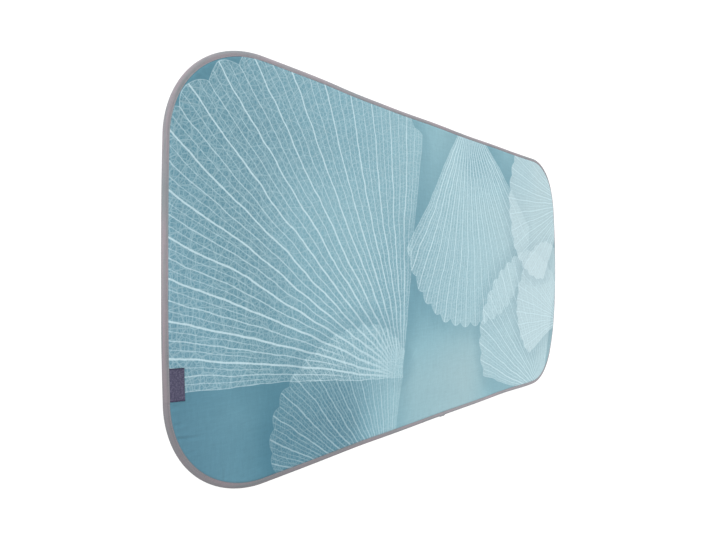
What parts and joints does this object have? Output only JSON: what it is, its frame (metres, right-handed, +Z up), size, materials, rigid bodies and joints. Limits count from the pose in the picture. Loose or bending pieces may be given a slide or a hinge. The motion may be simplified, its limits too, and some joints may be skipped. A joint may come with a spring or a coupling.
{
  "type": "ironing pad",
  "caption": "Flat padded ironing pad: rounded rectangle of printed cotton over foam, felt and a backing cloth, with a folded edge tape and a side label that lifts.",
  "frame": {"origin": "centre of the pad's outline, on the table that its underside rests on", "axes": "+X along the long side, away from the end that carries the label; +Y across the pad, away from the long side that the label is nearer to; +Z up, out of the ironing surface"},
  "size_m": [1.2, 0.651, 0.0072],
  "materials": {
    "printed_cotton": "matt plain weave",
    "foam": "matt open-cell foam",
    "felt": "matt needled felt",
    "backing_cloth": "matt plain weave",
    "binding_tape": "matt bias tape",
    "sewing_thread": "spun thread",
    "woven_label": "fine damask weave"
  },
  "bodies": {
    "pad": {"printed_cover": "printed_cotton", "foam_layer": "foam", "felt_padding": "felt", "backing_cloth": "backing_cloth", "edge_binding": "binding_tape", "needle_thread": "sewing_thread", "bobbin_thread": "sewing_thread", "label_tail": "woven_label"},
    "label": {"side_label": "woven_label"}
  },
  "joints": [
    {"name": "label_lift", "type": "hinge", "parent": "pad", "child": "label", "pos_m": [-0.59145, -0.15, 0.0055], "axis": [0, -1, 0], "range_deg": [0, 160]}
  ]
}
